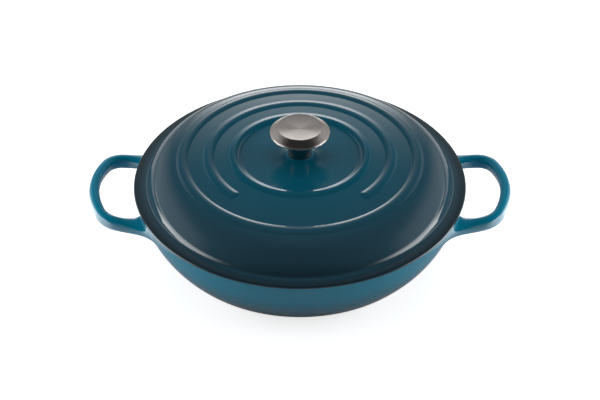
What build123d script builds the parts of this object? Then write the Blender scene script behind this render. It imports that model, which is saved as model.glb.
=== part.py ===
from build123d import *

import os
from math import asin, cos, degrees, radians, sin, sqrt, tan

# Shallow enamelled cast-iron braiser with a domed, ringed lid and a dished steel knob.
# Millimetres. The pot stands on z = 0 and its axis is Z. X runs through the two handles,
# and the gap in the lid's middle ring faces -Y.

# Pot: a flat base, a heel arc and a belly arc that leans out to the rim
pot_height = 70
pot_rim_radius = 154.7
pot_wall = 3.6
rim_lean_degrees = 7.8
belly_radius = 107.5
heel_radius = 38.5
rim_rounding = 1.6
foot_width = 10
foot_recess = 0.8
foot_recess_taper_degrees = 45

# Handles: loops cast onto the pot wall, tilted up towards their tips and flared at their roots
handle_overhang = 45.8
handle_tilt_degrees = 10
handle_drop = 15.2
handle_bar = 9.8
handle_height = 13.4
handle_root_overlap = 3
handle_root_fillet = 2.5

# The loop's outline, in shares of the overhang
tip_radius_share = 1.865
corner_radius_share = 0.47
reach_share = 1.024
splay_degrees = 10
outer_flare_share = 0.8
inner_flare_share = 0.43
root_length_share = 0.6
bar_rounding_share = 0.42  # of the bar width

# Lid: a flange on the pot rim, a steep wall, a shoulder and a shallow crown
lid_overhang = 2.3
flange_width = 10.8
lid_wall = 3
flange_thickness = 3
flange_top_rounding = 1.7
flange_bottom_rounding = 1.1
flange_fillet = 2.5
dome_lean_degrees = 21
shoulder_share = 1.0375  # of the crown height
crown_height = 34.7
crown_radius = 1080

# Locating skirt under the flange, with three nubs that steady the lid in the pot's mouth
skirt_clearance = 1.1
skirt_thickness = 3.4
skirt_depth = 4.5
skirt_rounding = 0.6
nub_count = 3
nub_width = 9
nub_clearance = 0.4

# Raised rings on the crown, with their middle radii in shares of the dome's foot; the middle
# ring is open at the front
ring_width = 7.2
ring_height = 1.5
ring_rounding = 1
outer_ring_share = 0.7525
middle_ring_share = 0.585
inner_ring_share = 0.4185
middle_ring_gap_degrees = 92

# Centre of the lid: a level disc inside the inner ring, with a low flared boss; both are sunk
# under the crown's full height
disc_sink = 2.9
boss_radius = 11.6
boss_sink = 0.8
boss_flare = 12

# Knob: a polished neck under a wide brushed head with a dished top
knob_height = 64.7
knob_radius = 28
knob_bevel_height = 6.3
knob_bevel_radius = 22
knob_edge_band = 1
knob_edge_rounding = 0.4
knob_head_depth = 13.7
dish_radius = 21.6
dish_depth = 1.3
neck_radius = 11.1
neck_waist_radius = 10.6
spigot_radius = 8
spigot_length = 5
spigot_clearance = 0.05
spigot_end_gap = 0.3

# Screw through the lid into the neck, with a flat washer under its head
screw_radius = 3
screw_hole_clearance = 0.4
screw_grip = 13
thread_clearance = 0.05
thread_end_gap = 2
screw_head_radius = 6
screw_head_height = 3.2
screw_head_rounding = 1.5
screw_slot_width = 1.6
screw_slot_depth = 1.4
washer_radius = 8
washer_thickness = 1.2

os.makedirs("parts", exist_ok=True)


# Pot wall: both arcs share their join, and the heel arc ends level on the base
rim_lean = radians(rim_lean_degrees)
join_rise = pot_height - heel_radius + belly_radius * sin(rim_lean)
join_angle = asin(join_rise / (belly_radius - heel_radius))
belly_center = (
    pot_rim_radius - belly_radius * cos(rim_lean),
    pot_height + belly_radius * sin(rim_lean),
)
heel_center = (
    belly_center[0] + (belly_radius - heel_radius) * cos(join_angle),
    belly_center[1] - (belly_radius - heel_radius) * sin(join_angle),
)
foot_radius = heel_center[0]


def wall_radius(height, inset):
    """Radius of the belly arc, moved inwards by inset, at a height above its join."""
    return belly_center[0] + sqrt((belly_radius - inset) ** 2 - (belly_center[1] - height) ** 2)


def bowl_section(inset):
    """Half section of everything inside the pot wall, moved inwards by inset."""
    mouth_sweep = degrees(join_angle) - rim_lean_degrees
    with BuildSketch(Plane.XZ) as section:
        with BuildLine():
            heel = CenterArc(heel_center, heel_radius - inset, -90, 90 - degrees(join_angle))
            belly = CenterArc(belly_center, belly_radius - inset, -degrees(join_angle), mouth_sweep)
            Polyline(belly @ 1, (0, (belly @ 1).Y), (0, inset), heel @ 0)
        make_face()
    return section.sketch


# Handle: its outline joins a disc inside the wall, so that its flares run onto the wall
tilt = radians(handle_tilt_degrees)
splay = tan(radians(splay_degrees))
handle_root_radius = wall_radius(pot_height - handle_drop, 0)
root_disc_radius = handle_root_radius - handle_root_overlap
handle_plane = Plane(
    origin=(0, 0, pot_height - handle_drop - handle_root_radius * tan(tilt)),
    x_dir=(cos(tilt), 0, sin(tilt)),
    z_dir=(-sin(tilt), 0, cos(tilt)),
)
bar_rounding = bar_rounding_share * handle_bar
bar_overhang = (
    bar_rounding
    + (handle_bar / 2 - bar_rounding) * cos(tilt)
    + (handle_height / 2 - bar_rounding) * sin(tilt)
)
handle_tip = (pot_rim_radius + handle_overhang - bar_overhang) / cos(tilt)
tip_radius = tip_radius_share * handle_overhang
reach = reach_share * handle_overhang


def loop_face(grow):
    """Face inside the handle bar's middle line, grown by half the bar or shrunk by it."""
    corner = handle_tip - tip_radius + sqrt(tip_radius**2 - reach**2)
    root_reach = reach + splay * corner
    with BuildSketch() as face:
        with BuildLine():
            ThreePointArc((corner, -reach), (handle_tip, 0), (corner, reach))
            Polyline((corner, reach), (0, root_reach), (0, -root_reach), (corner, -reach))
        make_face()
        fillet(face.vertices().group_by(Axis.X)[-1], corner_radius_share * handle_overhang)
        offset(amount=grow)
    return face.sketch


with BuildSketch() as finger_hole:
    add(loop_face(-handle_bar / 2))
    Circle(root_disc_radius, mode=Mode.SUBTRACT)
    fillet(finger_hole.vertices().group_by(Axis.X)[0], inner_flare_share * handle_overhang)

with BuildSketch() as handle_outline:
    add(loop_face(handle_bar / 2))
    Circle(root_disc_radius)
    concave = handle_outline.vertices().filter_by(lambda v: 0 < v.X < root_disc_radius)
    fillet(concave, outer_flare_share * handle_overhang)
    with Locations((root_disc_radius - root_length_share * handle_overhang, 0)):
        Rectangle(handle_tip, 2 * root_disc_radius, align=(Align.MIN, Align.CENTER), mode=Mode.INTERSECT)

with BuildPart() as handle:
    with BuildSketch(handle_plane.offset(-handle_height / 2)):
        add(handle_outline.sketch)
        add(finger_hole.sketch, mode=Mode.SUBTRACT)
    extrude(amount=handle_height)
    upright = handle.edges().filter_by(Axis(handle_plane.origin, handle_plane.z_dir))
    root_face = handle.faces().sort_by(Axis.X)[0]
    fillet(handle.edges() - upright - root_face.edges(), bar_rounding)

with BuildPart() as pot:
    add(bowl_section(0))
    revolve(axis=Axis.Z)
    add(handle.part)
    mirror(handle.part, about=Plane.YZ)
    fillet(pot.edges().filter_by(GeomType.BSPLINE), handle_root_fillet)
    add(bowl_section(pot_wall))
    revolve(axis=Axis.Z, mode=Mode.SUBTRACT)
    with BuildSketch():
        Circle(foot_radius - foot_width)
    extrude(amount=foot_recess, taper=foot_recess_taper_degrees, mode=Mode.SUBTRACT)
    rim = pot.faces().filter_by(Axis.Z).group_by(Axis.Z)[-1]
    fillet(rim.edges(), rim_rounding)
pot.part.label = "pot"
export_step(pot.part, "parts/pot.step")


# Lid sections lie in this plane, where a height is measured from the pot's rim
rim_plane = Plane(origin=(0, 0, pot_height), x_dir=(1, 0, 0), z_dir=(0, -1, 0))
dome_lean = radians(dome_lean_degrees)
lid_radius = pot_rim_radius + lid_overhang
dome_foot_radius = lid_radius - flange_width
outer_ring_radius = outer_ring_share * dome_foot_radius
middle_ring_radius = middle_ring_share * dome_foot_radius
inner_ring_radius = inner_ring_share * dome_foot_radius
shoulder_radius = shoulder_share * crown_height
disc_height = crown_height - disc_sink
boss_height = crown_height - boss_sink
lid_ceiling = disc_height - lid_wall
mouth_radius = wall_radius(pot_height - skirt_depth, pot_wall)
skirt_radius = mouth_radius - skirt_clearance


def crown_level(radius):
    """Height of the crown above the rim at a distance from the axis."""
    return crown_height - crown_radius + sqrt(crown_radius**2 - radius**2)


def dome_section(inset):
    """Half section of the dome above the rim, moved inwards by inset."""
    foot = dome_foot_radius - inset / cos(dome_lean)
    top = foot - crown_height * tan(dome_lean)
    with BuildSketch() as section:
        with BuildLine():
            Polyline((0, 0), (foot, 0), (top, crown_height), (0, crown_height), close=True)
        make_face()
        with Locations((0, crown_height - crown_radius)):
            Circle(crown_radius - inset, mode=Mode.INTERSECT)
        shoulder = section.vertices().sort_by(Axis.X)[-2]
        fillet(shoulder, shoulder_radius - inset)
    return section.sketch


def ring_section(radius):
    """Section of a raised round-edged band, square to the crown at its middle radius."""
    slope = degrees(asin(radius / crown_radius))
    with BuildSketch() as section:
        Rectangle(ring_width, 2 * ring_height)
        fillet(section.vertices().group_by(Axis.Y)[-1], ring_rounding)
    return Location((radius, crown_level(radius)), -slope) * section.sketch


def open_ring(radius, gap_degrees):
    """Band with a gap centred on -Y and a half-round end on each side of it."""
    slope = asin(radius / crown_radius)
    end_axis = Axis((radius, 0, pot_height + crown_level(radius)), (sin(slope), 0, cos(slope)))
    with BuildPart() as half_ring:
        with BuildSketch(rim_plane):
            add(ring_section(radius))
        revolve(axis=Axis.Z, revolution_arc=180 - gap_degrees / 2)
        with BuildSketch(rim_plane) as inner_half:
            add(ring_section(radius))
            with Locations(Location((radius, crown_level(radius)), -degrees(slope))):
                Rectangle(ring_width, 4 * ring_height, align=(Align.MAX, Align.CENTER), mode=Mode.INTERSECT)
        revolve(axis=end_axis, revolution_arc=180)
    right_half = half_ring.part.rotate(Axis.Z, gap_degrees / 2 - 90)
    return right_half + mirror(right_half, about=Plane.YZ)


with BuildSketch() as lid_outline:
    add(dome_section(0))
    Rectangle(lid_radius, flange_thickness, align=(Align.MIN, Align.MIN))
    corner = lid_outline.vertices().filter_by(lambda v: 0 < v.X < lid_radius and v.Y == flange_thickness)
    fillet(corner, flange_fillet)
    edge = lid_outline.vertices().group_by(Axis.X)[-1].sort_by(Axis.Y)
    fillet(edge[-1], flange_top_rounding)
    edge = lid_outline.vertices().group_by(Axis.X)[-1].sort_by(Axis.Y)
    fillet(edge[0], flange_bottom_rounding)
    with Locations((0, disc_height)):
        Rectangle(inner_ring_radius, crown_height, align=(Align.MIN, Align.MIN), mode=Mode.SUBTRACT)
    add(ring_section(outer_ring_radius))
    add(ring_section(inner_ring_radius))
    with BuildLine():
        flare = TangentArc((boss_radius + boss_flare, disc_height), (boss_radius, boss_height), tangent=(-1, 0))
        Polyline(flare @ 1, (0, boss_height), (0, disc_height), flare @ 0)
    make_face()

with BuildSketch() as lid_hollow:
    add(dome_section(lid_wall))
    Rectangle(lid_radius, lid_ceiling, align=(Align.MIN, Align.MIN), mode=Mode.INTERSECT)

middle_ring = open_ring(middle_ring_radius, middle_ring_gap_degrees)

with BuildPart() as lid:
    with BuildSketch(rim_plane):
        add(lid_outline.sketch)
        add(lid_hollow.sketch, mode=Mode.SUBTRACT)
    revolve(axis=Axis.Z)
    add(middle_ring)
    with BuildSketch(Plane.XY.offset(pot_height)):
        Circle(skirt_radius)
        Circle(skirt_radius - skirt_thickness, mode=Mode.SUBTRACT)
        with PolarLocations(mouth_radius - nub_clearance, nub_count, start_angle=90):
            Rectangle(skirt_thickness, nub_width, align=(Align.MAX, Align.CENTER))
    extrude(amount=-skirt_depth)
    fillet(lid.edges().group_by(Axis.Z)[0], skirt_rounding)
    Cylinder(screw_radius + screw_hole_clearance, 4 * pot_height, mode=Mode.SUBTRACT)
lid.part.label = "lid"
export_step(lid.part, "parts/lid.step")

# The head's underside, where the neck ends
knob_underside_height = knob_height - knob_head_depth

with BuildPart() as knob_head:
    with BuildSketch(rim_plane) as section:
        with BuildLine():
            edge_top = knob_height - knob_bevel_height
            bevel = RadiusArc((dish_radius, knob_height), (knob_radius, edge_top), knob_bevel_radius)
            Line((knob_radius, edge_top), (knob_radius, edge_top - knob_edge_band))
            TangentArc(
                (neck_radius, knob_underside_height), (knob_radius, edge_top - knob_edge_band), tangent=(1, 0)
            )
            Polyline(
                (neck_radius, knob_underside_height),
                (0, knob_underside_height),
                (0, knob_height - dish_depth),
                (dish_radius, knob_height),
            )
        make_face()
        sharp = section.vertices().filter_by(lambda v: v.X > neck_radius)
        fillet(sharp, knob_edge_rounding)
    revolve(axis=Axis.Z)
    with Locations(Plane.XY.offset(pot_height + knob_underside_height)):
        Cylinder(
            spigot_radius + spigot_clearance,
            spigot_length + spigot_end_gap,
            align=(Align.CENTER, Align.CENTER, Align.MIN),
            mode=Mode.SUBTRACT,
        )
knob_head.part.label = "knob_head"
export_step(knob_head.part, "parts/knob_head.step")

with BuildPart() as knob_neck:
    with BuildSketch(rim_plane):
        with BuildLine():
            middle = (boss_height + knob_underside_height) / 2
            waist = ThreePointArc(
                (neck_radius, boss_height), (neck_waist_radius, middle), (neck_radius, knob_underside_height)
            )
            Polyline(
                waist @ 1,
                (spigot_radius, knob_underside_height),
                (spigot_radius, knob_underside_height + spigot_length),
                (0, knob_underside_height + spigot_length),
                (0, boss_height),
                waist @ 0,
            )
        make_face()
    revolve(axis=Axis.Z)
    with Locations(Plane.XY.offset(pot_height + boss_height)):
        Cylinder(
            screw_radius + thread_clearance,
            screw_grip + thread_end_gap,
            align=(Align.CENTER, Align.CENTER, Align.MIN),
            mode=Mode.SUBTRACT,
        )
knob_neck.part.label = "knob_neck"
export_step(knob_neck.part, "parts/knob_neck.step")

# The washer lies on the lid's ceiling, and the screw's head lies on the washer
head_seat = pot_height + lid_ceiling - washer_thickness

with BuildPart() as washer:
    with BuildSketch(Plane.XY.offset(head_seat)):
        Circle(washer_radius)
        Circle(screw_radius + screw_hole_clearance, mode=Mode.SUBTRACT)
    extrude(amount=washer_thickness)
washer.part.label = "washer"
export_step(washer.part, "parts/washer.step")

with BuildPart() as knob_screw:
    with BuildSketch(Plane.XY.offset(head_seat)):
        Circle(screw_head_radius)
    extrude(amount=-screw_head_height)
    fillet(knob_screw.edges().group_by(Axis.Z)[0], screw_head_rounding)
    with BuildSketch(Plane.XY.offset(head_seat - screw_head_height)):
        Rectangle(4 * screw_head_radius, screw_slot_width)
    extrude(amount=screw_slot_depth, mode=Mode.SUBTRACT)
    with BuildSketch(Plane.XY.offset(head_seat)):
        Circle(screw_radius)
    extrude(amount=pot_height + boss_height + screw_grip - head_seat)
knob_screw.part.label = "knob_screw"
export_step(knob_screw.part, "parts/knob_screw.step")
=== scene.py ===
"""Enamelled cast-iron braiser: the finished surfaces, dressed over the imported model.

Every length is in metres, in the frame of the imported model: the pot stands on z = 0, its axis is Z,
X runs through the two finger loops and the gap in the lid's middle ring faces -Y.
"""

import bmesh
import bpy
import numpy as np
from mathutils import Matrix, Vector


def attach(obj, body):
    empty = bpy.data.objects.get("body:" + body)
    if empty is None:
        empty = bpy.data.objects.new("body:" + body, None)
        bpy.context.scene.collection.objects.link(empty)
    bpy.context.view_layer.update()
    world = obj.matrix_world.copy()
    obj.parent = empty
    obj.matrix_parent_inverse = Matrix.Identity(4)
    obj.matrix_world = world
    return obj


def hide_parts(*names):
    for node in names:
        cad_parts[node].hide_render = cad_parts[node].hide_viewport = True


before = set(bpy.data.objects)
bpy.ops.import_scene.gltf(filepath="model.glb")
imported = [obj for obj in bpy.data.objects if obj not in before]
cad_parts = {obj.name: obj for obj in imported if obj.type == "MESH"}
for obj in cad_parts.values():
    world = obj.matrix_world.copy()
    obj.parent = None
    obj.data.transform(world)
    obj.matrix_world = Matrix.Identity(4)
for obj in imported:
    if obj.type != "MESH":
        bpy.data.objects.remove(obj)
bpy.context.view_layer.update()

bl_info = {
    "name": "Enamelled Braiser",
    "version": (1, 0, 0),
    "blender": (4, 5, 0),
    "location": "View3D > Sidebar > Braiser",
    "description": "Builds the glazed castings, the steel knob and the studio round the packed braiser",
    "category": "Add Mesh",
}

MM = 0.001
RIM = 70 * MM  # height of the pot's rim, from which the lid's heights are counted
ROUND_STEPS = 240  # steps round a turned form
GLAZE, SAND, IRON = 0, 1, 2  # places of a casting's three materials


def linear(hex_colour):
    """Linear RGB of an sRGB hex colour."""
    value = np.array([int(hex_colour[i : i + 2], 16) for i in (1, 3, 5)]) / 255
    return tuple(np.where(value <= 0.04045, value / 12.92, ((value + 0.055) / 1.055) ** 2.4))


class BraiserSizes(bpy.types.PropertyGroup):
    """Sizes of the raised rings and of the finger loops' bars."""

    ring_width: bpy.props.FloatProperty(
        name="Ring width", description="Width of a raised ring, from foot to foot",
        default=12.2 * MM, unit="LENGTH",
    )
    ring_height: bpy.props.FloatProperty(
        name="Ring height", description="How far a ring stands up from the lid",
        default=1.36 * MM, unit="LENGTH",
    )
    ring_root: bpy.props.FloatProperty(
        name="Ring root", description="Hollow of glaze along a ring's foot",
        default=2.4 * MM, unit="LENGTH",
    )
    loop_width: bpy.props.FloatProperty(
        name="Loop width", description="Width of a finger loop's bar, seen from above",
        default=9.8 * MM, unit="LENGTH",
    )
    loop_depth: bpy.props.FloatProperty(
        name="Loop depth", description="Height of a finger loop's bar",
        default=13.4 * MM, unit="LENGTH",
    )


class BraiserColours(bpy.types.PropertyGroup):
    """Colours of the glaze and the metal."""

    heart: bpy.props.FloatVectorProperty(
        name="Heart of the lid", description="Glaze at the middle of the lid and on the loops",
        subtype="COLOR", size=3, min=0, max=1, default=linear("#005d74"),
    )
    # edge, scaled down, also gives the painted shade on the lid's flange and at the pot's foot
    edge: bpy.props.FloatVectorProperty(
        name="Edge of the lid", description="Darker glaze sprayed towards the lid's flange",
        subtype="COLOR", size=3, min=0, max=1, default=linear("#2b4d5d"),
    )
    inside: bpy.props.FloatVectorProperty(
        name="Inside", description="Pale sand glaze inside the pot and the lid",
        subtype="COLOR", size=3, min=0, max=1, default=linear("#d9cfba"),
    )
    steel: bpy.props.FloatVectorProperty(
        name="Steel", description="Stainless steel of the knob",
        subtype="COLOR", size=3, min=0, max=1, default=linear("#c6bfbb"),
    )


# Shapes: every function works on whole arrays, and lengths inside them are metres


def arc(centre, radius, start, end, steps):
    """Points of a circle in the section plane: centre + radius * (cos a, sin a), a in degrees."""
    angle = np.radians(np.linspace(start, end, steps))
    return np.stack([centre[0] + radius * np.cos(angle), centre[1] + radius * np.sin(angle)], 1)


def turned(profile, steps=ROUND_STEPS):
    """Grid of a section turned about Z: x = r cos a, y = r sin a, z kept, a round the full circle."""
    angle = np.linspace(0, 2 * np.pi, steps, endpoint=False)
    r = profile[:, 0][:, None]
    z = np.repeat(profile[:, 1][:, None], steps, 1)
    return np.stack([r * np.cos(angle), r * np.sin(angle), z], 2)


def grid_faces(rows, columns, close_rows, close_columns):
    """Corner numbers of each square of a grid, wrapped round where a direction closes."""
    i = np.arange(rows if close_rows else rows - 1)[:, None]
    j = np.arange(columns if close_columns else columns - 1)[None, :]
    i2, j2 = (i + 1) % rows, (j + 1) % columns
    corners = [i * columns + j, i2 * columns + j, i2 * columns + j2, i * columns + j2]
    return np.stack([np.broadcast_to(c, (i.shape[0], j.shape[1])) for c in corners], 2).reshape(-1, 4)


def make_piece(name, points, close_rows, close_columns, body, replaced=(), row_materials=None):
    """One closed mesh from a grid of points: poles and seams are merged and faces point outwards."""
    rows, columns = points.shape[:2]
    mesh = bpy.data.meshes.new(name)
    faces = grid_faces(rows, columns, close_rows, close_columns)
    mesh.from_pydata(points.reshape(-1, 3).tolist(), [], faces.tolist())
    mesh.update()
    if row_materials is not None:
        squares = columns if close_columns else columns - 1
        band = np.repeat(np.asarray(row_materials, np.int32), squares)
        mesh.polygons.foreach_set("material_index", band[: len(mesh.polygons)])
    work = bmesh.new()
    work.from_mesh(mesh)
    bmesh.ops.remove_doubles(work, verts=work.verts, dist=2e-6)
    bmesh.ops.recalc_face_normals(work, faces=work.faces)
    work.to_mesh(mesh)
    work.free()
    mesh.polygons.foreach_set("use_smooth", np.ones(len(mesh.polygons), bool))
    piece = bpy.data.objects.new(name, mesh)
    bpy.context.scene.collection.objects.link(piece)
    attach(piece, body)
    if replaced:
        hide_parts(*replaced)
    return piece


# The pot's section: heel and belly arcs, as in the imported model

POT_WALL = 3.6 * MM
HEEL_CENTRE, HEEL_RADIUS = (99.546 * MM, 38.5 * MM), 38.5 * MM
BELLY_CENTRE, BELLY_RADIUS = (48.195 * MM, 84.589 * MM), 107.5 * MM
JOIN_DEGREES = 41.91
RIM_ROUNDING = 1.6 * MM
FOOT_WIDTH, FOOT_RECESS = 10 * MM, 0.8 * MM  # the ring that it stands on, and the hollow inside it


def wall_radius(z, inset=0.0):
    """Radius of the belly at height z: centre + sqrt((R - inset)^2 - (centre height - z)^2)."""
    return BELLY_CENTRE[0] + np.sqrt((BELLY_RADIUS - inset) ** 2 - (BELLY_CENTRE[1] - z) ** 2)


def pot_section():
    """Section of the pot, from the middle of its underside round the rim to the middle inside."""
    rim_z = RIM - RIM_ROUNDING
    outer = (wall_radius(rim_z, RIM_ROUNDING), rim_z)
    inner = (wall_radius(rim_z, POT_WALL - RIM_ROUNDING), rim_z)
    lean = [
        np.degrees(np.arctan2(centre[1] - BELLY_CENTRE[1], centre[0] - BELLY_CENTRE[0]))
        for centre in (outer, inner)
    ]
    foot, recess = HEEL_CENTRE[0], FOOT_RECESS
    ring_in = foot - FOOT_WIDTH
    under = np.array([(0, recess), (ring_in * 0.5, recess), (ring_in - 2 * recess, recess)])
    lip = np.array(
        [(ring_in - 1.2 * recess, 0.85 * recess), (ring_in - 0.4 * recess, 0.2 * recess), (ring_in, 0)]
    )
    parts = [
        (under, IRON),
        (lip, IRON),
        (arc(HEEL_CENTRE, HEEL_RADIUS, -90, -JOIN_DEGREES, 22), GLAZE),
        (arc(BELLY_CENTRE, BELLY_RADIUS, -JOIN_DEGREES, lean[0], 26)[1:], GLAZE),
        (arc(outer, RIM_ROUNDING, lean[0], 90, 10)[1:], GLAZE),
        (arc(inner, RIM_ROUNDING, 90, 180 + lean[1], 10), SAND),
        (arc(BELLY_CENTRE, BELLY_RADIUS - POT_WALL, lean[1], -JOIN_DEGREES, 20)[1:], SAND),
        (arc(HEEL_CENTRE, HEEL_RADIUS - POT_WALL, -JOIN_DEGREES, -90, 16)[1:], SAND),
        (np.array([(foot * 0.66, POT_WALL), (foot * 0.33, POT_WALL), (0, POT_WALL)]), SAND),
    ]
    profile = np.concatenate([p for p, _ in parts])
    bands = np.concatenate([np.full(len(p), m) for p, m in parts])
    return profile, bands[1:]


# A finger loop: its middle line lies in a plane that tilts up towards the tip

TILT = np.radians(10)
LOOP_DROP = 15.2 * MM  # the middle line meets the wall this far under the rim
LOOP_ROOT = wall_radius(RIM - LOOP_DROP)
LOOP_ORIGIN = np.array([0, 0, RIM - LOOP_DROP - LOOP_ROOT * np.tan(TILT)])
LOOP_AXES = np.array(
    [(np.cos(TILT), 0, np.sin(TILT)), (0, 1, 0), (-np.sin(TILT), 0, np.cos(TILT))]
)
TIP_X, TIP_RADIUS = 198.2 * MM, 86 * MM
CORNER_RADIUS, REACH, SPLAY = 21.5 * MM, 46.9 * MM, np.tan(np.radians(10))
FLARE_X = 172.4 * MM  # where the bar ends and its trumpet begins

# The trumpet's foot on the wall: its middle, how far it spreads sideways and up, and its root
FOOT_Y, FOOT_DROP = 53.0 * MM, 15.6 * MM
FAR_SPREAD, NEAR_SPREAD, RISE = 19.0 * MM, 20.0 * MM, 5.2 * MM
START_PULL, FOOT_SINK = 1.1, 1.5 * MM


def loop_line(steps=120):
    """Middle line of a loop and its outward normals: leg, corner arc, tip arc, corner arc, leg."""
    corner_x = TIP_X - TIP_RADIUS + np.sqrt(TIP_RADIUS**2 - REACH**2)
    along = np.array([-1, SPLAY]) / np.hypot(1, SPLAY)
    inward = np.array([-SPLAY, -1]) / np.hypot(1, SPLAY)
    start = np.array([corner_x, REACH]) + inward * CORNER_RADIUS
    tip_centre = np.array([TIP_X - TIP_RADIUS, 0])
    gap = start - tip_centre
    b, c = gap @ along, gap @ gap - (TIP_RADIUS - CORNER_RADIUS) ** 2
    centre = start + along * (-b - np.sqrt(b * b - c))
    touch = centre - inward * CORNER_RADIUS
    a0 = np.arctan2(*(-inward)[::-1])
    a1 = np.arctan2(*(centre - tip_centre)[::-1])
    leg_start = touch + along * (touch[0] - FLARE_X) / -along[0]
    leg = leg_start + np.linspace(0, 1, 6)[:, None] * (touch - leg_start)
    bend = np.linspace(a0, a1, 26)
    corner = centre + CORNER_RADIUS * np.stack([np.cos(bend), np.sin(bend)], 1)
    sweep = np.linspace(a1, -a1, 44)
    tip = tip_centre + TIP_RADIUS * np.stack([np.cos(sweep), np.sin(sweep)], 1)
    half = np.concatenate([leg[:-1], corner[:-1]])
    line = np.concatenate([half, tip, half[::-1] * (1, -1)])
    tangent = np.gradient(line, axis=0)
    tangent /= np.linalg.norm(tangent, axis=1)[:, None]
    return line, np.stack([-tangent[:, 1], tangent[:, 0]], 1), tangent


def loop_section(width, depth, steps=48, fullness=2.87):
    """Closed superellipse: (w/2 sgn(cos t)|cos t|^(2/n), d/2 sgn(sin t)|sin t|^(2/n))."""
    t = np.linspace(0, 2 * np.pi, steps, endpoint=False)
    power = 2 / fullness
    across = np.sign(np.cos(t)) * np.abs(np.cos(t)) ** power * width / 2
    up = np.sign(np.sin(t)) * np.abs(np.sin(t)) ** power * depth / 2
    return across, up


def on_wall(y, z, sink=0.0):
    """Points of the pot's outer wall at height z and offset y: x = sqrt(R(z)^2 - y^2)."""
    r = wall_radius(z, sink)
    return np.stack([np.sqrt(np.maximum(r * r - y * y, 0)), y, z], -1)


def loop_grid(width, depth):
    """Grid of the right-hand loop: the bar's section along its middle line, and at each end a
    trumpet that runs out level with the wall, a Hermite curve from the bar to its foot there."""
    line, normal, tangent = loop_line()
    across, up = loop_section(width, depth)
    flat = line[:, None, :] + normal[:, None, :] * across[None, :, None]
    lift = np.broadcast_to(up[None, :, None], flat.shape[:2] + (1,))
    bar = np.concatenate([flat, lift], 2) @ LOOP_AXES + LOOP_ORIGIN
    ends = []
    for row, side in ((0, 1), (len(line) - 1, -1)):
        start = bar[row]
        heading = np.append(-tangent[row] * side, 0) @ LOOP_AXES
        t = np.linspace(0, 2 * np.pi, len(across), endpoint=False)
        sway = across * np.sign(normal[row, 1]) * side
        out = np.where(sway > 0, FAR_SPREAD, NEAR_SPREAD) * (np.abs(sway) / (width / 2))
        foot_y = side * (FOOT_Y + np.sign(sway) * out)
        grow = RISE * np.abs(np.sin(t)) ** 1.5
        foot_z = RIM - FOOT_DROP + up + np.sign(up) * grow
        foot = on_wall(foot_y, foot_z)
        step_y = side * np.sign(sway) * np.abs(np.cos(t)) * MM
        spread = on_wall(foot_y + step_y, foot_z + np.sin(t) * MM) - foot
        spread /= np.maximum(np.linalg.norm(spread, axis=1), 1e-9)[:, None]
        reach = np.linalg.norm(foot - start, axis=1)[:, None]
        u = np.linspace(0, 1, 26)[1:, None, None]
        h00, h10 = 2 * u**3 - 3 * u**2 + 1, u**3 - 2 * u**2 + u
        h01, h11 = -2 * u**3 + 3 * u**2, u**3 - u**2
        sheet = h00 * start + h10 * heading * reach * START_PULL + h01 * foot + h11 * spread * reach
        sunk = on_wall(foot_y, foot_z, FOOT_SINK)[None]
        cap = np.repeat(sunk.mean(1, keepdims=True), len(across), 1)
        ends.append(np.concatenate([sheet, sunk, cap]))
    return np.concatenate([ends[0][::-1], bar, ends[1]])


# The lid's section, by height over the rim

LID_RADIUS, DOME_FOOT, CROWN_RADIUS, CROWN = 157 * MM, 146.2 * MM, 1080 * MM, 34.7 * MM
LID_WALL, DOME_LEAN, SHOULDER = 3 * MM, np.radians(21), 36 * MM
RING_RADII = {"outer": 110.6 * MM, "middle": 86.0 * MM, "inner": 61.9 * MM}
DISC, BOSS = 31.8 * MM, 33.9 * MM


def crown_level(r, inset=0.0):
    """Height of the crown at radius r: a circle of CROWN_RADIUS less inset with its top at CROWN."""
    return CROWN - CROWN_RADIUS + np.sqrt((CROWN_RADIUS - inset) ** 2 - r * r)


def shoulder_arc(inset, steps):
    """Arc between the steep wall and the crown: its centre lies SHOULDER inside both."""
    radius = SHOULDER - inset
    n = np.array([np.cos(DOME_LEAN), np.sin(DOME_LEAN)])
    foot = np.array([DOME_FOOT, 0]) - n * SHOULDER
    along = np.array([-np.sin(DOME_LEAN), np.cos(DOME_LEAN)])
    crown_centre = np.array([0, CROWN - CROWN_RADIUS])
    gap = foot - crown_centre
    b, c = gap @ along, gap @ gap - (CROWN_RADIUS - SHOULDER) ** 2
    centre = foot + along * (-b + np.sqrt(b * b - c))
    top = np.degrees(np.arctan2(*(centre - crown_centre)[::-1]))
    return arc(centre, radius, np.degrees(DOME_LEAN), top, steps)


def ring_bump(distance, width, height, root):
    """Height of a ring at a distance from its middle: a bead of radius R = (w/2) / sin s - root,
    where tan(s/2) = h / (w/2), that runs out into the lid in a hollow of radius root."""
    half = width / 2
    slope = 2 * np.arctan(height / half)
    bead = half / np.sin(slope) - root
    d = np.abs(distance)
    top = np.sqrt(np.maximum(bead**2 - d**2, 0)) - bead + height
    foot = root - np.sqrt(np.maximum(root**2 - (half - d) ** 2, 0))
    return np.where(d < bead * np.sin(slope), top, np.where(d < half, foot, 0))


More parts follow.
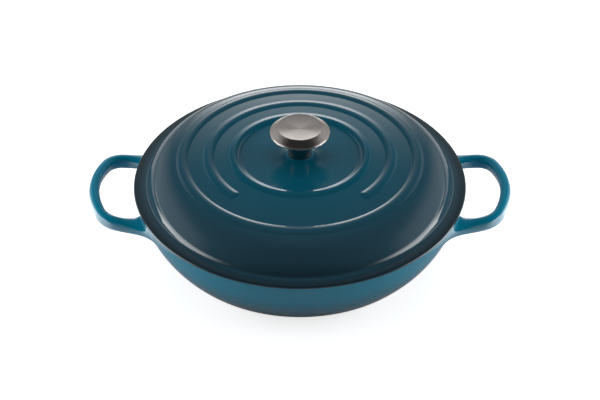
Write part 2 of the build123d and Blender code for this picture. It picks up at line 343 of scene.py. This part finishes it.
def lid_top(sizes, arc_points):
    """The crown from the shoulder's arc in to the disc, with the outer and inner rings: base height
    is the lower of crown and shoulder, and each ring's bump is added to it; inside the inner
    ring's crest the surface falls to the disc, first convex, then hollow."""
    fall_bead, fall_slope = 7 * MM, np.radians(40)
    inner = RING_RADII["inner"]
    crest = crown_level(inner) + sizes.ring_height
    drop = crest - DISC
    fall_root = drop / (1 - np.cos(fall_slope)) - fall_bead
    fall_end = (fall_bead + fall_root) * np.sin(fall_slope)
    near = [np.linspace(-0.55, 0.55, 45) * sizes.ring_width + RING_RADII["outer"]]
    near.append(np.linspace(0, 0.55, 24) * sizes.ring_width + inner)
    near.append(inner - np.linspace(0, 1, 34)[1:] * fall_end)
    near.append(np.linspace(near[0][0], near[1][-1], 12)[1:-1])
    r = np.unique(np.concatenate(near))[::-1]
    join = arc_points[-1]
    swell = np.interp(r, arc_points[::-1, 0], arc_points[::-1, 1], left=0)
    base = np.where(r > join[0], swell, crown_level(r))
    form = sizes.ring_width, sizes.ring_height, sizes.ring_root
    z = base + sum(ring_bump(r - RING_RADII[name], *form) for name in ("outer", "inner"))
    d = inner - r
    convex = crest - fall_bead + np.sqrt(np.maximum(fall_bead**2 - d**2, 0))
    hollow = DISC + fall_root - np.sqrt(np.maximum(fall_root**2 - (fall_end - d) ** 2, 0))
    z = np.where(d > 0, np.where(d < fall_bead * np.sin(fall_slope), convex, hollow), z)
    steep = arc_points[arc_points[:, 0] > r[0] + 0.2 * MM]
    return np.concatenate([steep, np.stack([r, z], 1)])


def lid_section(sizes):
    """Closed section of the lid, from the underside of the flange over the top to the hollow."""
    flange, top_round, low_round, fillet = 3 * MM, 1.7 * MM, 1.1 * MM, 2.5 * MM
    lean = np.degrees(DOME_LEAN)
    wall_r = DOME_FOOT - flange * np.tan(DOME_LEAN)
    fillet_r = wall_r + fillet / np.cos(DOME_LEAN) - fillet * np.tan(DOME_LEAN)
    fillet_centre = (fillet_r, flange + fillet)
    top = lid_top(sizes, shoulder_arc(0, 40))
    # the boss's flare is a quadratic Bezier curve from the disc up to the boss
    flare_foot, flare_bend, flare_top = 23.6 * MM, 13.2 * MM, 11.6 * MM
    s = np.linspace(0, 1, 12)[1:, None]
    flare = np.array([(flare_foot, DISC)]) * (1 - s) ** 2
    flare = flare + 2 * s * (1 - s) * np.array([(flare_bend, DISC)])
    flare = flare + s**2 * np.array([(flare_top, BOSS)])
    hole = 3.4 * MM
    ceiling = DISC - LID_WALL
    hollow_shoulder = shoulder_arc(LID_WALL, 18)
    hollow_r = np.linspace(hollow_shoulder[-1, 0], 70 * MM, 8)[1:]
    hollow = np.stack([hollow_r, np.minimum(crown_level(hollow_r, LID_WALL), ceiling)], 1)
    skirt_depth, skirt_gap, skirt_round = 4.5 * MM, 1.1 * MM, 0.8 * MM
    skirt = wall_radius(RIM - skirt_depth, POT_WALL) - skirt_gap
    skirt_low = -3.7 * MM
    shelf = LID_RADIUS - top_round - fillet_r
    parts = [
        (arc((LID_RADIUS - low_round, low_round), low_round, -90, 0, 7), GLAZE),
        (arc((LID_RADIUS - top_round, flange - top_round), top_round, 0, 90, 10), GLAZE),
        (np.array([(fillet_r + shelf * share, flange) for share in (0.66, 0.33)]), GLAZE),
        (arc(fillet_centre, fillet, 270, 180 + lean, 12), GLAZE),
        (top, GLAZE),
        (np.array([(r * MM, DISC) for r in (48, 40, 32, 27, 23.6)]), GLAZE),
        (flare, GLAZE),
        (np.array([(10 * MM, BOSS), (hole, BOSS)]), SAND),
        (np.array([(hole, ceiling), (12 * MM, ceiling), (40 * MM, ceiling)]), SAND),
        (hollow[::-1], SAND),
        (hollow_shoulder[::-1], SAND),
        (np.array([(DOME_FOOT - LID_WALL / np.cos(DOME_LEAN), 0), (skirt - 3.4 * MM, 0)]), SAND),
        (arc((skirt - 2.6 * MM, skirt_low), skirt_round, 180, 270, 5), SAND),
        (arc((skirt - skirt_round, skirt_low), skirt_round, 270, 360, 5), IRON),
        (np.array([(skirt, -0.01 * MM), (skirt + 0.5 * MM, 0)]), SAND),
    ]
    profile = np.concatenate([points for points, _ in parts])
    bands = np.concatenate([np.full(len(points), kind) for points, kind in parts])
    return profile + (0, RIM), bands


def open_ring_grid(sizes, gap_degrees=92.0):
    """The middle ring, open towards -Y. Rows follow its outline, two arcs joined by squarish ends;
    columns run from its foot up and in to its middle line: at distance d inside the outline the
    height is that of the ring's bump, laid on the crown along its normal."""
    radius = RING_RADII["middle"]
    half = sizes.ring_width / 2
    # the first column lies just outside the foot and is tucked under the crown
    overlap, tuck = 1.03, 0.3 * MM
    across = np.concatenate([[half * overlap], half * np.linspace(1, 0, 30)])
    rise = ring_bump(across, sizes.ring_width, sizes.ring_height, sizes.ring_root)
    section = np.stack([across, rise - np.where(across > half, tuck, 0)], 1)
    start, stop = np.radians(-90 + gap_degrees / 2), np.radians(270 - gap_degrees / 2)
    along = np.linspace(start, stop, 200)
    bend = np.linspace(0, np.pi, 26)[1:-1]
    middle, side = [], []
    middle.append(np.stack([np.cos(along), np.sin(along)], 1) * radius)
    side.append(np.stack([np.cos(along), np.sin(along)], 1))
    for angle, sign in ((stop, 1), (start, -1)):
        out = np.array([np.cos(angle), np.sin(angle)]) * sign
        ahead = np.array([-np.sin(angle), np.cos(angle)]) * sign
        end = np.array([np.cos(angle), np.sin(angle)]) * radius
        middle.append(np.repeat([end], len(bend), 0))
        # superellipse of the fourth degree, so that the end is squarish
        full = (np.abs(np.cos(bend)) ** 4 + np.sin(bend) ** 4) ** -0.25
        side.append((full * np.cos(bend))[:, None] * out + (full * np.sin(bend))[:, None] * ahead)
        if sign == 1:
            middle.append(middle[0][::-1])
            side.append(-side[0][::-1])
    middle, side = np.concatenate(middle), np.concatenate(side)
    flat = middle[:, None] + side[:, None] * section[None, :, :1]
    r = np.linalg.norm(flat, axis=2, keepdims=True)
    lean = flat / CROWN_RADIUS
    height = section[None, :, 1:]
    z = crown_level(r) + height * np.sqrt(1 - (r / CROWN_RADIUS) ** 2) + RIM
    return np.concatenate([flat + lean * height, z], 2)


def knob_head_section():
    """Section of the knob's head: dished top, bright lip, bevel, thin edge and flared underside."""
    lip = arc((20.9 * MM, 63.5 * MM), 0.4 * MM, 100, 50, 6)
    dish_r = np.linspace(0, 20.3 * MM, 14)
    dish = np.stack([dish_r, 62.6 * MM + 1.2 * MM * (dish_r / (20.3 * MM)) ** 2], 1)
    bevel = np.array([(22.5, 62.95), (24.5, 61.55), (26.5, 60.1), (27.5, 59.3)]) * MM
    edge = np.array([(27.9, 58.8), (28.0, 58.2), (28.0, 57.5), (27.8, 56.9), (27.4, 56.6)]) * MM
    # the underside is a quadratic Bezier curve from the edge in to the neck
    s = np.linspace(0, 1, 18)[1:, None]
    under = (1 - s) ** 2 * edge[-1] + 2 * s * (1 - s) * np.array([21, 51]) * MM
    under = under + s**2 * np.array([11.1, 51]) * MM
    close = np.array([(8.05, 51), (8.05, 56.3), (0, 56.3)]) * MM
    return np.concatenate([dish, lip, bevel, edge, under, close]) + (0, RIM)


def knob_neck_section():
    """Section of the polished neck, a little waisted, with its spigot up into the head."""
    s = np.linspace(-1, 1, 22)
    waist = np.stack([(11.1 - 0.5 * (1 - s**2)) * MM, (42.45 + 8.55 * s) * MM], 1)
    top = np.array([(8, 51), (8, 56), (0, 56)]) * MM
    bottom = np.array([(0, 48.9), (3.05, 48.9), (3.05, 33.9)]) * MM
    return np.concatenate([bottom, waist, top]) + (0, RIM)


# Finishes


def add_node(tree, kind, settings=None, **links):
    """Adds a node of a kind, sets its properties and unlinked sockets, and links the rest."""
    node = tree.nodes.new(kind)
    for key, value in (settings or {}).items():
        if isinstance(key, str) and hasattr(node, key):
            setattr(node, key, value)
        else:
            node.inputs[key].default_value = value
    for key, source in links.items():
        numbered = key[0] == "n" and key[1:].isdigit()
        tree.links.new(source, node.inputs[int(key[1:]) if numbered else key.replace("_", " ")])
    return node


def calculate(tree, operation, *operands):
    """Result of one arithmetic node: an operand is a number set on it or a socket linked to it."""
    node = add_node(tree, "ShaderNodeMath", {"operation": operation})
    for place, operand in enumerate(operands):
        if isinstance(operand, bpy.types.NodeSocket):
            tree.links.new(operand, node.inputs[place])
        else:
            node.inputs[place].default_value = operand
    return node.outputs[0]


def split_place(tree, kind="Object"):
    """The X, Y and Z sockets of a coordinate."""
    place = add_node(tree, "ShaderNodeTexCoord")
    return add_node(tree, "ShaderNodeSeparateXYZ", Vector=place.outputs[kind]).outputs


def noise(tree, scale, detail):
    """Noise over the Object coordinates, with scale in cells a metre."""
    place = add_node(tree, "ShaderNodeTexCoord")
    settings = {"Scale": scale, "Detail": detail}
    return add_node(tree, "ShaderNodeTexNoise", settings, Vector=place.outputs["Object"]).outputs["Fac"]


def relief(tree, height, strength, distance):
    """Normal of a surface that a height from 0 to 1 raises by up to a distance in metres."""
    settings = {"Strength": strength, "Distance": distance}
    return add_node(tree, "ShaderNodeBump", settings, Height=height).outputs["Normal"]


def new_material(name):
    """An empty node material, its tree and its output node."""
    material = bpy.data.materials.new(name)
    material.use_nodes = True
    material.node_tree.nodes.clear()
    return material, material.node_tree, material.node_tree.nodes.new("ShaderNodeOutputMaterial")


def ramp(tree, source, stops):
    """A colour ramp over a value, with its stops as (place, linear colour)."""
    node = add_node(tree, "ShaderNodeValToRGB", n0=source)
    elements = node.color_ramp.elements
    while len(elements) < len(stops):
        elements.new(0.5)
    for element, (place, colour) in zip(elements, stops):
        element.position, element.color = place, (*colour, 1)
    return node.outputs["Color"]


def brightness(tree, source, stops):
    """A grey ramp over a value, with its stops as (place, brightness)."""
    return ramp(tree, source, [(place, (grey, grey, grey)) for place, grey in stops])


def glaze_surface(tree, output, colour, roughness=0.07):
    """Fired glass over iron: a clear hard gloss with the faint waviness of a sprayed, melted coat."""
    # waves about 9 mm long and a few microns high, which only bend the reflections a little
    shader = add_node(
        tree,
        "ShaderNodeBsdfPrincipled",
        {"Roughness": roughness, "IOR": 1.52, "Specular IOR Level": 0.5},
        Base_Color=colour,
        Normal=relief(tree, noise(tree, 110.0, 1.0), 0.12, 0.06 * MM),
    )
    tree.links.new(shader.outputs[0], output.inputs["Surface"])


def radius_value(tree):
    """Distance from the Z axis, in metres, from Object coordinates."""
    place = add_node(tree, "ShaderNodeTexCoord")
    flatten = {"operation": "MULTIPLY", 1: (1, 1, 0)}
    flat = add_node(tree, "ShaderNodeVectorMath", flatten, n0=place.outputs["Object"])
    length = add_node(tree, "ShaderNodeVectorMath", {"operation": "LENGTH"}, n0=flat.outputs[0])
    return length.outputs["Value"]


def lid_enamel(colours):
    """Vitreous enamel, deep teal in the middle and sprayed darker towards the flange; the darkest band, on
    the flange and its edge, is painted shade.
    """
    material, tree, output = new_material("teal_vitreous_enamel_lid")
    # the ramp runs over a radius of 160 mm, 3 mm more than the lid's
    share = calculate(tree, "DIVIDE", radius_value(tree), 160 * MM)
    heart, edge = np.array(colours.heart), np.array(colours.edge)
    stops = [
        (0.0, heart),
        (0.42, heart * 0.8 + edge * 0.2),
        (0.66, heart * 0.45 + edge * 0.55),
        (0.8, edge),
        (0.92, edge),
        # painted shade: the flange and its edge darken to less than half the edge colour
        (0.96, edge * 0.45),
        (1.0, edge * 0.45),
    ]
    glaze_surface(tree, output, ramp(tree, share, stops))
    return material


def pot_enamel(colours):
    """Vitreous enamel of the pot's outside, deep teal under the rim; its darkening towards the foot is
    painted shade.
    """
    material, tree, output = new_material("teal_vitreous_enamel_pot")
    share = calculate(tree, "DIVIDE", split_place(tree)["Z"], RIM)
    heart, edge = np.array(colours.heart), np.array(colours.edge)
    upper = heart * 2.15
    # painted shade: under 0.7 of the rim's height the glaze darkens down to the foot
    stops = [(0.0, edge * 0.6), (0.3, heart * 0.55 + edge * 0.75), (0.7, upper), (1.0, upper)]
    glaze_surface(tree, output, ramp(tree, share, stops))
    return material


def sand_enamel(colours):
    """Pale vitreous enamel of the inside, a little matter than the outside and faintly speckled."""
    material, tree, output = new_material("sand_vitreous_enamel")
    # specks about 0.8 mm wide, drawn coarser than the real ones so that they show
    specks = noise(tree, 1200.0, 2.0)
    inside = np.array(colours.inside)
    glaze_surface(tree, output, ramp(tree, specks, [(0.3, inside * 0.9), (0.6, inside)]), 0.22)
    return material


def bare_iron():
    """Ground, uncoated cast iron of the hollow under the pot and the outer side of the lid's skirt:
    dark, dull and finely grained."""
    material, tree, output = new_material("ground_cast_iron")
    # grain of 0.5 mm, as sand-cast iron has
    grain = noise(tree, 2000.0, 3.0)
    shader = add_node(
        tree,
        "ShaderNodeBsdfPrincipled",
        {"Metallic": 0.6, "Roughness": 0.6},
        Base_Color=ramp(tree, grain, [(0.3, linear("#2a2a2b")), (0.7, linear("#3c3b3a"))]),
        Normal=relief(tree, grain, 0.4, 0.15 * MM),
    )
    tree.links.new(shader.outputs[0], output.inputs["Surface"])
    return material


def turned_steel(colours, name, tint, roughness, groove, anisotropy):
    """Stainless steel turned on a lathe: fine circles round the axis that stretch each highlight
    across them, so light fans out from the middle."""
    material, tree, output = new_material(name)
    # tool marks 0.35 mm apart: the real ones are finer than the picture can hold
    along = calculate(tree, "ADD", radius_value(tree), split_place(tree)["Z"])
    marks = add_node(tree, "ShaderNodeCombineXYZ", X=along)
    texture = {"Scale": 2800.0, "Detail": 3.0}
    lines = add_node(tree, "ShaderNodeTexNoise", texture, Vector=marks.outputs[0]).outputs["Fac"]
    shade = np.array(colours.steel) * tint
    around = add_node(tree, "ShaderNodeTangent", {"direction_type": "RADIAL", "axis": "Z"})
    # a quarter turn lays the stretch of the highlights across the marks
    metal = {"Metallic": 1.0, "Roughness": roughness, "Anisotropic": anisotropy, "Anisotropic Rotation": 0.25}
    shader = add_node(
        tree,
        "ShaderNodeBsdfPrincipled",
        metal,
        Base_Color=ramp(tree, lines, [(0.3, shade * 0.92), (0.7, shade)]),
        Normal=relief(tree, lines, groove, 0.02 * MM),
        Tangent=around.outputs[0],
    )
    tree.links.new(shader.outputs[0], output.inputs["Surface"])
    return material


# The room, as steps of (place, brightness). Side walls: by the sine of the height, and by
# |x| + SIDE_SLANT * y. Glow low behind the braiser: by the sine of the height, and by |x|.
WALL_HEIGHTS = ((0.0, 1.0), (0.42, 1.0), (0.58, 0.85), (0.72, 0.4), (0.85, 0.0))
SIDE_WALLS = ((0.0, 0.0), (0.68, 0.04), (0.9, 0.5), (1.0, 0.6))
SIDE_SLANT, DARK_ROOM = 0.4, 0.02
BACK_LIGHT = 3.6
BACK_WIDTH = ((0.0, 1.0), (0.12, 1.0), (0.2, 0.45), (0.28, 0.12), (0.4, 0.0))
BACK_HEIGHTS = (
    (0.0, 0.9), (0.2, 1.0), (0.34, 0.8), (0.44, 0.32),
    (0.5, 0.18), (0.6, 0.06), (0.68, 0.03), (0.85, 0.01),
)

# The brightly lit floor far out on both sides: by |x| in metres and by 0.5 + y / |2 x|. Its strip
# over the horizon: by the sine of the height, and by |x|.
POOL_LIGHT = 5.5
SIDE_POOLS = ((0.16, 0.0), (0.26, 0.7), (0.4, 1.0), (1.0, 0.8))
POOL_FAN = ((0.1, 0.0), (0.28, 1.0), (0.55, 1.0), (0.7, 0.0))
STRIP_HEIGHTS = ((0.0, 0.3), (0.01, 0.2), (0.04, 0.0), (1.0, 0.0))
STRIP_WIDTH = ((0.7, 0.0), (0.85, 1.0), (1.0, 1.0))
FLOOR_REACH, PAPER_LIFT = 6.0, 0.75

# Lamps: name, place, size and radiance; all face LAMP_AIM and the glaze shows none of them
LAMPS = (
    ("left_softbox", (-1.0, 0.0, 0.4), (0.9, 0.6), 3.2),
    ("right_softbox", (1.0, 0.0, 0.4), (0.9, 0.6), 3.2),
    ("overhead_bank", (0, 0.3, 1.9), (1.6, 1.2), 1.5),
)
LAMP_AIM = (0, 0, 0.06)

# Camera: it looks down by CAMERA_LOOK at a point CAMERA_AIM over the floor, from CAMERA_AWAY. The
# focal length and the shift are in pixels of a picture PICTURE_WIDTH wide.
CAMERA_LOOK, CAMERA_AWAY, CAMERA_AIM = np.radians(37.114), 1.7, 70.6 * MM
PICTURE_WIDTH, FOCAL_PIXELS, SHIFT_PIXELS, SENSOR_WIDTH = 600, 1792.8, (0.15, -18.64), 36


def add_camera(scene):
    """The picture's camera, with a long lens."""
    camera = bpy.data.objects.new("picture_camera", bpy.data.cameras.new("picture_camera"))
    scene.collection.objects.link(camera)
    scene.camera = camera
    back, up = CAMERA_AWAY * np.cos(CAMERA_LOOK), CAMERA_AWAY * np.sin(CAMERA_LOOK)
    camera.location = Vector((0, 0, CAMERA_AIM)) + Vector((0, -back, up))
    camera.rotation_euler = (np.pi / 2 - CAMERA_LOOK, 0, 0)
    camera.data.sensor_width = SENSOR_WIDTH
    camera.data.lens = FOCAL_PIXELS * SENSOR_WIDTH / PICTURE_WIDTH
    camera.data.shift_x, camera.data.shift_y = (shift / PICTURE_WIDTH for shift in SHIFT_PIXELS)
    camera.data.clip_end = 30


def add_floor(scene):
    """White paper, a little overexposed to the camera only, so that its faint shadow stays. Far out
    on both sides it is brightly lit, which only the glaze shows, as soft streaks."""
    mesh = bpy.data.meshes.new("floor")
    corners = [(x * FLOOR_REACH, y * FLOOR_REACH, 0) for x, y in ((-1, -1), (1, -1), (1, 1), (-1, 1))]
    mesh.from_pydata(corners, [], [(0, 1, 2, 3)])
    floor = bpy.data.objects.new("floor", mesh)
    scene.collection.objects.link(floor)
    material, tree, output = new_material("white_paper_floor")
    rays = add_node(tree, "ShaderNodeLightPath")
    x, y, _ = split_place(tree)
    sideways = calculate(tree, "ABSOLUTE", x)
    slant = calculate(tree, "MULTIPLY_ADD", calculate(tree, "DIVIDE", y, sideways), 0.5, 0.5)
    pool, fan = brightness(tree, sideways, SIDE_POOLS), brightness(tree, slant, POOL_FAN)
    shown = calculate(tree, "MULTIPLY", pool, fan)
    shown = calculate(tree, "MULTIPLY", shown, rays.outputs["Is Glossy Ray"])
    lift = calculate(tree, "MULTIPLY", rays.outputs["Is Camera Ray"], PAPER_LIFT)
    lift = calculate(tree, "MULTIPLY_ADD", shown, POOL_LIGHT, lift)
    paper = add_node(tree, "ShaderNodeBsdfDiffuse", {"Color": (0.86, 0.86, 0.87, 1)})
    glow = add_node(tree, "ShaderNodeEmission", {"Color": (1, 1, 1, 1)}, Strength=lift)
    both = add_node(tree, "ShaderNodeAddShader", n0=paper.outputs[0], n1=glow.outputs[0])
    tree.links.new(both.outputs[0], output.inputs["Surface"])
    mesh.materials.append(material)


def add_room(scene):
    """Pale walls on both sides, a bright and narrow glow low behind, a lit strip over the horizon on
    both sides, and a dark room in front and above. The camera sees plain white."""
    world = bpy.data.worlds.new("studio")
    scene.world = world
    world.use_nodes = True
    tree = world.node_tree
    tree.nodes.clear()
    x, y, z = split_place(tree, "Generated")
    sideways = calculate(tree, "ABSOLUTE", x)
    turn = calculate(tree, "MULTIPLY_ADD", y, SIDE_SLANT, sideways)
    side, height = brightness(tree, turn, SIDE_WALLS), brightness(tree, z, WALL_HEIGHTS)
    sky = calculate(tree, "MULTIPLY_ADD", side, height, DARK_ROOM)
    behind = calculate(tree, "GREATER_THAN", y, 0.0)
    back = calculate(tree, "MULTIPLY", brightness(tree, sideways, BACK_WIDTH), behind)
    rear = calculate(tree, "MULTIPLY", brightness(tree, z, BACK_HEIGHTS), back)
    sky = calculate(tree, "MULTIPLY_ADD", rear, BACK_LIGHT, sky)
    low, wide = brightness(tree, z, STRIP_HEIGHTS), brightness(tree, sideways, STRIP_WIDTH)
    strip = calculate(tree, "MULTIPLY", low, wide)
    sky = calculate(tree, "MULTIPLY_ADD", strip, POOL_LIGHT, sky)
    rays = add_node(tree, "ShaderNodeLightPath")
    strength = calculate(tree, "MAXIMUM", sky, rays.outputs["Is Camera Ray"])
    backdrop = add_node(tree, "ShaderNodeBackground", {"Color": (1, 1, 1, 1)}, Strength=strength)
    add_node(tree, "ShaderNodeOutputWorld", Surface=backdrop.outputs[0])


def add_lamps(scene):
    """Softboxes that light the braiser."""
    for name, place, size, radiance in LAMPS:
        lamp = bpy.data.lights.new(name, "AREA")
        lamp.shape, lamp.size, lamp.size_y = "RECTANGLE", *size
        lamp.energy = radiance * np.pi * size[0] * size[1]
        stand = bpy.data.objects.new(name, lamp)
        stand.location = place
        stand.rotation_euler = (Vector(LAMP_AIM) - Vector(place)).to_track_quat("-Z", "Y").to_euler()
        stand.visible_glossy = False
        scene.collection.objects.link(stand)


class BRAISER_OT_stage(bpy.types.Operator):
    """Sets the white floor, the studio light and the camera of the picture"""

    bl_idname = "braiser.stage"
    bl_label = "Stage"

    def execute(self, context):
        scene = context.scene
        scene.view_settings.view_transform = "Standard"
        for add in (add_camera, add_floor, add_room, add_lamps):
            add(scene)
        return {"FINISHED"}


class BRAISER_OT_pot(bpy.types.Operator):
    """Builds the pot's glazed wall, its sand-coloured inside and its bare underside"""

    bl_idname = "braiser.pot"
    bl_label = "Pot"

    def execute(self, context):
        colours = context.scene.braiser_colours
        profile, bands = pot_section()
        pot = make_piece("pot_casting", turned(profile), False, True, "vessel", ("pot",), bands)
        for material in (pot_enamel(colours), sand_enamel(colours), bare_iron()):
            pot.data.materials.append(material)
        return {"FINISHED"}


class BRAISER_OT_loops(bpy.types.Operator):
    """Builds the two finger loops, flared onto the pot's wall"""

    bl_idname = "braiser.loops"
    bl_label = "Finger loops"

    def execute(self, context):
        sizes = context.scene.braiser_sizes
        right = loop_grid(sizes.loop_width, sizes.loop_depth)
        for name, grid in (("right_finger_loop", right), ("left_finger_loop", right * (-1, 1, 1))):
            loop = make_piece(name, grid, False, True, "vessel")
            loop.data.materials.append(bpy.data.materials["teal_vitreous_enamel_pot"])
        return {"FINISHED"}


class BRAISER_OT_lid(bpy.types.Operator):
    """Builds the lid's casting with its two closed rings, and the open ring on its crown"""

    bl_idname = "braiser.lid"
    bl_label = "Lid"

    def execute(self, context):
        sizes, colours = context.scene.braiser_sizes, context.scene.braiser_colours
        profile, bands = lid_section(sizes)
        lid = make_piece("lid_casting", turned(profile), True, True, "cover", ("lid",), bands)
        ring = make_piece("open_middle_ring", open_ring_grid(sizes), True, False, "cover")
        glaze = lid_enamel(colours)
        shared = [bpy.data.materials[name] for name in ("sand_vitreous_enamel", "ground_cast_iron")]
        for material in (glaze, *shared):
            lid.data.materials.append(material)
        ring.data.materials.append(glaze)
        return {"FINISHED"}


class BRAISER_OT_knob(bpy.types.Operator):
    """Builds the dished steel knob and its polished neck, and finishes the screw and washer inside"""

    bl_idname = "braiser.knob"
    bl_label = "Knob"

    def execute(self, context):
        colours = context.scene.braiser_colours
        form = turned(knob_head_section(), 160)
        head = make_piece("dished_knob_head", form, False, True, "cover", ("knob_head",))
        brushed = turned_steel(colours, "brushed_stainless_steel", 1.15, 0.34, 0.25, 0.9)
        head.data.materials.append(brushed)
        form = turned(knob_neck_section(), 96)
        neck = make_piece("polished_knob_neck", form, False, True, "cover", ("knob_neck",))
        polished = turned_steel(colours, "polished_stainless_steel", 0.62, 0.12, 0.08, 0.3)
        neck.data.materials.append(polished)
        plain = turned_steel(colours, "plain_stainless_steel", 0.85, 0.3, 0.2, 0.4)
        for name in ("washer", "knob_screw"):
            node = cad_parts[name]
            node.data.materials.clear()
            node.data.materials.append(plain)
        return {"FINISHED"}


class BRAISER_PT_panel(bpy.types.Panel):
    """Lists the steps and the sizes and colours that they use"""

    bl_idname = "BRAISER_PT_panel"
    bl_label = "Braiser"
    bl_space_type = "VIEW_3D"
    bl_region_type = "UI"
    bl_category = "Braiser"

    def draw(self, context):
        for group in (context.scene.braiser_sizes, context.scene.braiser_colours):
            box = self.layout.box()
            for name in group.__annotations__:
                box.prop(group, name)
        for step in STEPS:
            self.layout.operator(step.bl_idname)


STEPS = (BRAISER_OT_stage, BRAISER_OT_pot, BRAISER_OT_loops, BRAISER_OT_lid, BRAISER_OT_knob)
CLASSES = (BraiserSizes, BraiserColours, *STEPS, BRAISER_PT_panel)


def register():
    for cls in CLASSES:
        bpy.utils.register_class(cls)
    bpy.types.Scene.braiser_sizes = bpy.props.PointerProperty(type=BraiserSizes)
    bpy.types.Scene.braiser_colours = bpy.props.PointerProperty(type=BraiserColours)


def unregister():
    del bpy.types.Scene.braiser_sizes
    del bpy.types.Scene.braiser_colours
    for cls in reversed(CLASSES):
        bpy.utils.unregister_class(cls)


def main():
    register()
    bpy.ops.braiser.stage()
    bpy.ops.braiser.pot()
    bpy.ops.braiser.loops()
    bpy.ops.braiser.lid()
    bpy.ops.braiser.knob()


if __name__ == "__main__":
    main()
